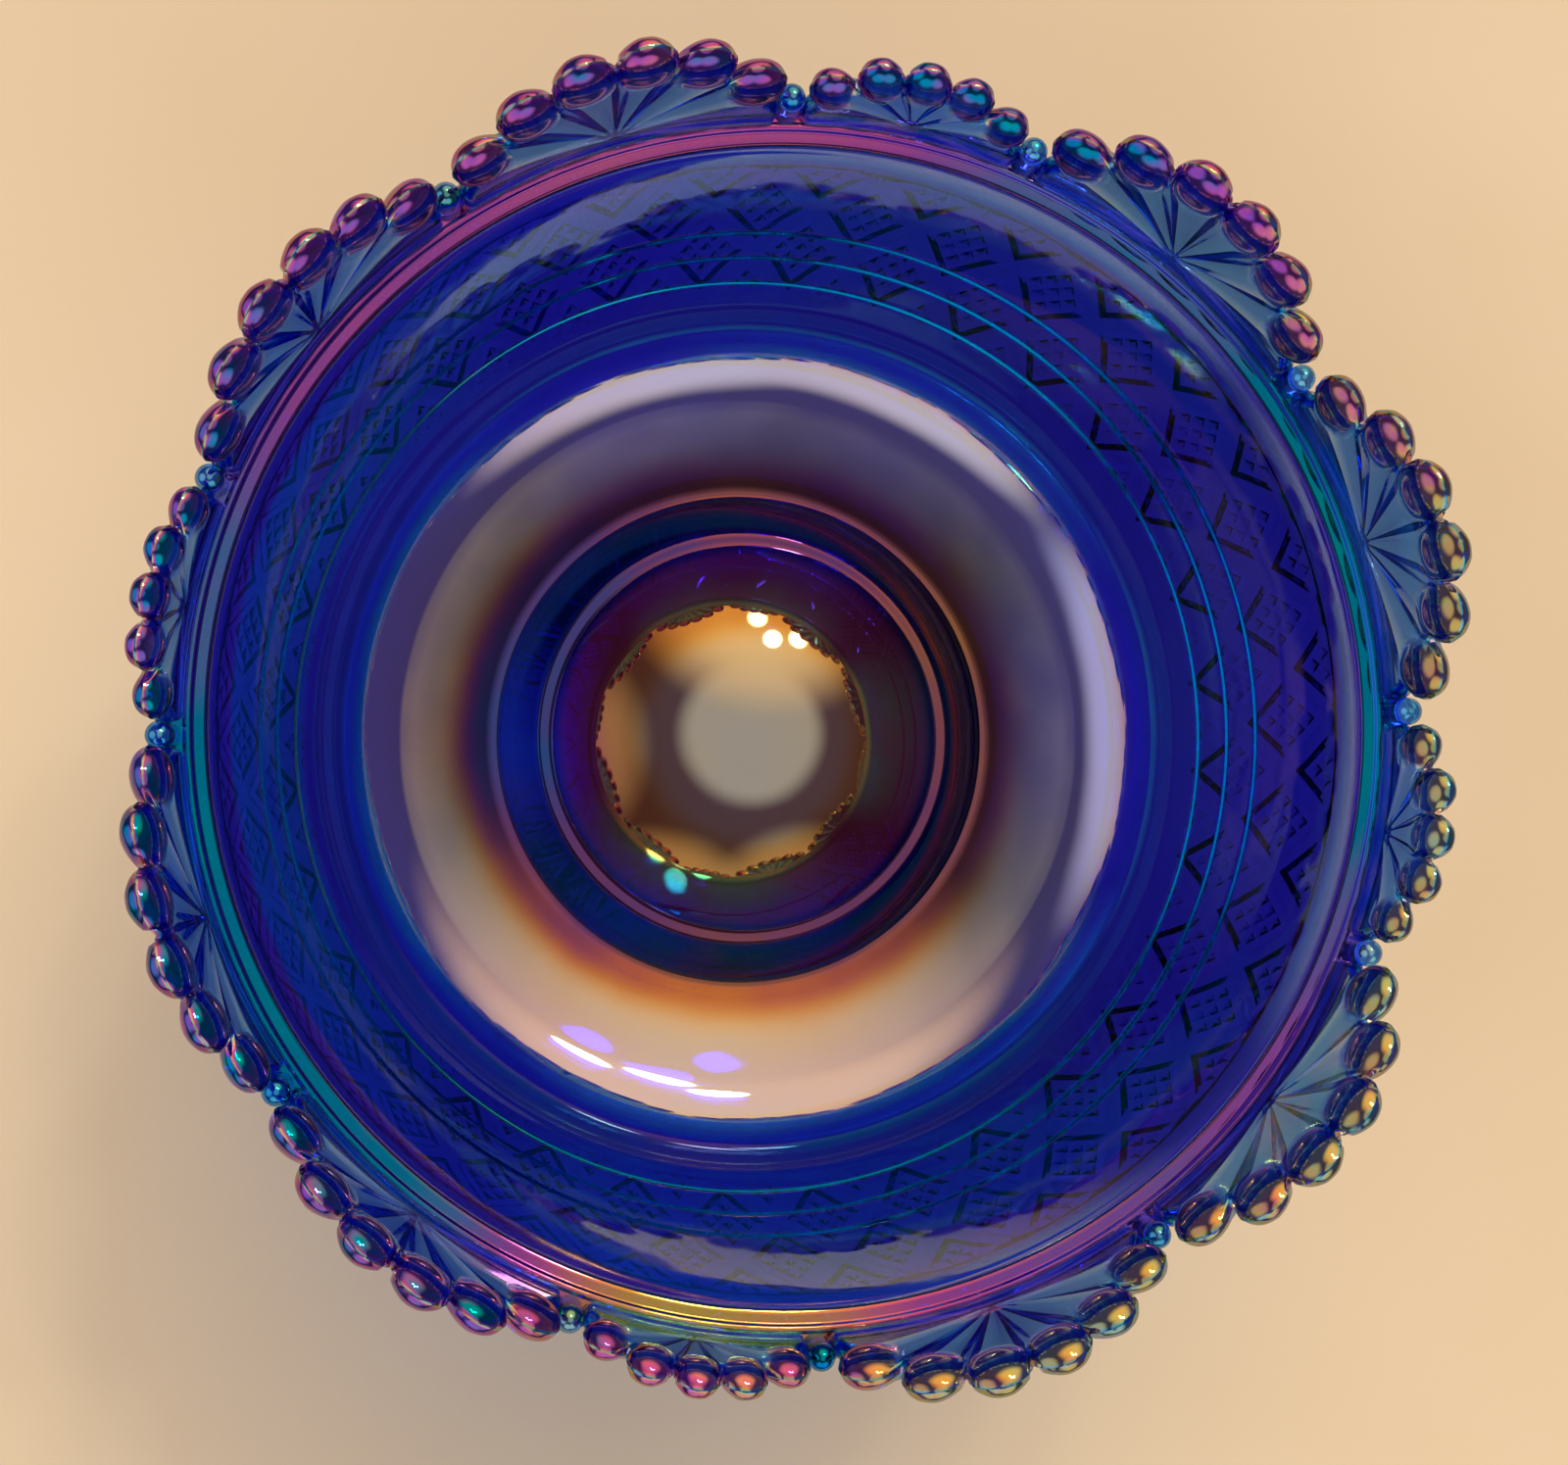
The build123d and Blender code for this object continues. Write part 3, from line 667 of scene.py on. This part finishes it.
# %% Close and shade a skin
def finish_skin(piece, crease):
    """Turns the faces outwards and keeps edges sharper than crease degrees crisp."""
    bm = bmesh.new()
    bm.from_mesh(piece.data)
    bmesh.ops.recalc_face_normals(bm, faces=bm.faces)
    open_edges = sum(1 for e in bm.edges if len(e.link_faces) != 2)
    bm.to_mesh(piece.data)
    bm.free()
    piece.data.shade_smooth()
    piece.data.set_sharp_from_angle(angle=math.radians(crease))
    triangles = sum(len(p.vertices) - 2 for p in piece.data.polygons)
    print(piece.name, "open edges", open_edges, "triangles", triangles)


finish_skin(bowl_shell, 22)
shell_nodes = ["lid_seat_ring", "bowl_wall", "bowl_well", "bowl_floor", "collar_foot",
               "diamond_row_upper", "diamond_row_middle", "diamond_row_lower",
               "half_diamond_row", "sawtooth_row"]

# %% [markdown]
# ## A scallop: petals that end in beads
# Each scallop is a fan of petals that spread from one root on the lid seat. The grooves
# between them are on the outside, and are seen through the glass as dark wedges. Each petal
# ends in a bead. Mesh lines run from the root to the edge, so each groove lies on a line.
# The glass is as thick as the petal or the bead, whichever is thicker, with a soft blend
# between the two, which gives the small fillet that molten glass leaves there.

# %% Sizes of the scallops
GALLERY_THICK = 2.8
MID_R = GALLERY_R + GALLERY_THICK / 2
SPAN = {6: 33.4, 5: 23.2}
FLARE = {6: 0.20, 5: 0.30}
BEADS = {6: ((2.75, 17.3), (8.05, 14.3), (12.9, 8.4)), 5: ((0.0, 9.9), (4.1, 9.1), (8.15, 5.9))}
BEAD_R, BEAD_DEPTH = {6: 3.9, 5: 2.9}, {6: 2.54, 5: 2.16}
BEAD_WIDEN = 1.07
# the mesh: rays over half a turn, steps along each, and the grooves' half width in degrees
RAYS, RAY_STEPS, GROOVE_HALF = 150, 30, 2.8
GROOVE_DEPTH, GROOVE_DEEPENS, FLUTE_DEPTH = 0.5, 0.085, 0.35


def bead_spots(count):
    """Bead middles on the unrolled gallery: millimetres across from the middle, and height."""
    spots = []
    for angle, height in BEADS[count]:
        across = math.radians(angle) * MID_R
        spots += [(side * across, height) for side in ((1,) if angle == 0 else (-1, 1))]
    return sorted(spots, reverse=True)


def fan_outline(count):
    """Corners of the fan, anticlockwise from its right foot: the edge runs through the beads."""
    side = math.radians(SPAN[count] / 2) * MID_R - 1.7
    return [(side, 0.0), (side, 2.4)] + bead_spots(count) + [(-side, 2.4), (-side, 0.0)]


def heading(point):
    """Direction from the root to a point, in degrees."""
    return math.degrees(math.atan2(point[1], point[0]))


# %% Edge of a scallop
def reach_of_fan(outline, direction):
    """How far a ray from the root runs before it leaves the fan."""
    d = Vector((math.cos(math.radians(direction)), math.sin(math.radians(direction))))
    for p, q in zip(outline, outline[1:]):
        if heading(p) - 1e-6 <= direction <= heading(q) + 1e-6:
            e = Vector(q) - Vector(p)
            return (Vector(p) + e * ((p[1] * d.x - p[0] * d.y) / (e.x * d.y - e.y * d.x))).length
    return Vector(outline[0]).length


def reach_of_beads(count, direction):
    """How far the same ray runs before it leaves the last bead, or 0 if it meets none."""
    d = Vector((math.cos(math.radians(direction)) / BEAD_WIDEN, math.sin(math.radians(direction))))
    furthest = 0.0
    for across, height in bead_spots(count):
        middle = Vector((across / BEAD_WIDEN, height))
        along = middle.dot(d) / d.length
        miss = middle.length_squared - along ** 2
        if miss < BEAD_R[count] ** 2:
            furthest = max(furthest, (along + math.sqrt(BEAD_R[count] ** 2 - miss)) / d.length)
    return furthest


# %% Thickness of a scallop
def bead_half(count, x, h):
    """Half thickness of the nearest bead at a point of the unrolled gallery."""
    best = 0.0
    for across, height in bead_spots(count):
        off = (((x - across) / BEAD_WIDEN) ** 2 + (h - height) ** 2) / BEAD_R[count] ** 2
        best = max(best, BEAD_DEPTH[count] * math.sqrt(max(0.0, 1.0 - off)))
    return best


def round_off(run, reach, size):
    """1 inside the edge, falling to 0 at the edge as a quarter circle."""
    over = max(0.0, (run - (reach - size)) / size)
    return math.sqrt(max(0.0, 1.0 - over ** 2))


def blend_up(a, b, soft):
    """The larger of two numbers, with a soft change from one to the other."""
    return (a + b + math.sqrt((a - b) ** 2 + soft ** 2)) / 2


# %% Scallop mesh
def groove_headings(outline):
    """A groove runs between each pair of beads, and one between the last bead and the foot."""
    corners = outline[1:-1]
    return [(heading(p) + heading(q)) / 2 for p, q in zip(corners, corners[1:])]


def ray_directions(grooves):
    """Even directions over half a turn, but five of them in each groove, one along its bottom."""
    directions = {round(180.0 * k / RAYS, 3) for k in range(RAYS + 1)}
    for g in grooves:
        directions -= {a for a in directions if abs(a - g) < GROOVE_HALF + 0.5}
        directions |= {round(g + GROOVE_HALF * step, 3) for step in (-1.0, -0.5, 0.0, 0.5, 1.0)}
    return sorted(directions)


def scallop_mesh(count):
    """One scallop, middle on +X: a smooth inside, a grooved outside and beads along the edge."""
    outline = fan_outline(count)
    grooves = groove_headings(outline)
    # steps along a ray crowd together towards the edge
    shares = [1 - (1 - s / RAY_STEPS) ** 1.6 for s in range(1, RAY_STEPS + 1)]
    bm = bmesh.new()
    bead_layer = bm.verts.layers.float.new("bead")

    def place(x, h, half, side):
        a = x / MID_R
        radius = MID_R + FLARE[count] * h + half * side
        return bm.verts.new((radius * math.cos(a) * MM, radius * math.sin(a) * MM, (SEAT_Z + h) * MM))

    def line_of(direction, side):
        fan, beads = reach_of_fan(outline, direction), reach_of_beads(count, direction)
        reach = max(fan, beads)
        cos, sin = math.cos(math.radians(direction)), math.sin(math.radians(direction))
        nearest = min(grooves, key=lambda g: abs(g - direction))
        into_groove = max(0.0, 1.0 - abs(direction - nearest) / GROOVE_HALF)
        into_flute = math.cos(math.radians(min(90.0, 9 * abs(direction - nearest))))
        line = []
        for share in shares:
            run = reach * share
            x, h = run * cos, max(run * sin, 0.0)
            petal = GALLERY_THICK / 2 * (round_off(run, fan, 1.0) if run < fan else 0.0)
            bead = bead_half(count, x, h)
            half = blend_up(petal, bead, 0.35) * round_off(run, reach, 0.5)
            if side > 0:
                half -= (min(into_groove * (GROOVE_DEPTH + GROOVE_DEEPENS * run), half + 0.4)
                         + into_flute * FLUTE_DEPTH * min(1.0, run / 9))
            vert = place(x, h, half if share < 1.0 else 0.0, side)
            vert[bead_layer] = min(1.0, max(0.0, (bead - petal * 0.7) / 0.6))
            line.append(vert)
        return line

    skins = []
    for side in (-1, 1):
        lines = [line_of(a, side) for a in ray_directions(grooves)]
        root = place(0.0, 0.0, GALLERY_THICK / 2, side)
        for p, q in zip(lines, lines[1:]):
            bm.faces.new((root, p[0], q[0]))
            for m in range(len(shares) - 1):
                bm.faces.new((p[m], p[m + 1], q[m + 1], q[m]))
        skins.append((root, lines))
    (root_in, inner), (root_out, outer) = skins
    for k in (0, -1):
        bm.faces.new((root_in, inner[k][0], outer[k][0], root_out))
        for m in range(len(shares) - 1):
            bm.faces.new((inner[k][m], inner[k][m + 1], outer[k][m + 1], outer[k][m]))
    bmesh.ops.remove_doubles(bm, verts=bm.verts, dist=2e-7)
    bmesh.ops.recalc_face_normals(bm, faces=bm.faces)
    mesh = bpy.data.meshes.new(f"scallop_{count}")
    bm.to_mesh(mesh)
    bm.free()
    print(f"scallop of {count} beads:", len(mesh.polygons), "faces")
    return mesh


large_scallops = ring_of("large_scallops", scallop_mesh(6), {
    "Copies": 8, "Copies in a group": 2, "First angle": SPAN[6] / 2, "Step in a group": SPAN[6],
    "Step of groups": 90.0, "Join distance": 0.0}, glass_edge)
small_scallops = ring_of("small_scallops", scallop_mesh(5), {
    "Copies": 4, "Copies in a group": 1, "First angle": 90 - SPAN[5] / 2, "Step in a group": 0.0,
    "Step of groups": 90.0, "Join distance": 0.0}, glass_edge)
for piece in (large_scallops, small_scallops):
    finish_skin(piece, 32)

# %% [markdown]
# ## The pillars between the scallops
# A small upright pillar with a round top fills each notch between two scallops.


# %% Pillar mesh
PILLAR_R, PILLAR_H, PILLAR_AT_R, PILLAR_SIDES = 1.9, 2.7, 83.6, 28


def pillar_mesh():
    """One pillar on +X: an upright cylinder with half a ball on top."""
    bm = bmesh.new()
    profile = [(PILLAR_R, 0.0), (PILLAR_R, PILLAR_H)]
    for t in range(10, 90, 10):
        a = math.radians(t)
        profile.append((PILLAR_R * math.cos(a), PILLAR_H + PILLAR_R * math.sin(a)))
    rings = []
    for r, h in profile:
        turns = [math.tau * k / PILLAR_SIDES for k in range(PILLAR_SIDES)]
        rings.append([bm.verts.new(((PILLAR_AT_R + r * math.cos(a)) * MM, r * math.sin(a) * MM,
                                    (SEAT_Z + h) * MM)) for a in turns])
    for low, high in zip(rings, rings[1:]):
        for k in range(PILLAR_SIDES):
            after = (k + 1) % PILLAR_SIDES
            bm.faces.new((low[k], low[after], high[after], high[k]))
    for ring, h in ((rings[0], 0.0), (rings[-1], PILLAR_H + PILLAR_R)):
        tip = bm.verts.new((PILLAR_AT_R * MM, 0, (SEAT_Z + h) * MM))
        for k in range(PILLAR_SIDES):
            bm.faces.new((ring[k], ring[(k + 1) % PILLAR_SIDES], tip))
    bmesh.ops.recalc_face_normals(bm, faces=bm.faces)
    mesh = bpy.data.meshes.new("pillar")
    bm.to_mesh(mesh)
    bm.free()
    return mesh


pillars = ring_of("pillars", pillar_mesh(), {
    "Copies": 12, "Copies in a group": 3, "First angle": 0.0, "Step in a group": SPAN[6],
    "Step of groups": 90.0, "Join distance": 0.0}, glass_edge)
finish_skin(pillars, 40)

# %% [markdown]
# ## Ties to the frame
# The bowl is one rigid body. Each piece rides on it and stands for the CAD nodes it replaces.

# %% Ties
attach(bowl_shell, "root")
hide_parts(*shell_nodes)
# beads on each scallop, in the order of the CAD nodes' numbers
order = [6, 6, 5] * 4
for piece, count in ((large_scallops, 6), (small_scallops, 5)):
    nodes = [f"{kind}_{n + 1:02d}" for n, beads in enumerate(order) if beads == count
             for kind in ("scallop_fan", "edge_beads")]
    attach(piece, "root")
    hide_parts(*nodes)
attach(pillars, "root")
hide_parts("valley_pillars")
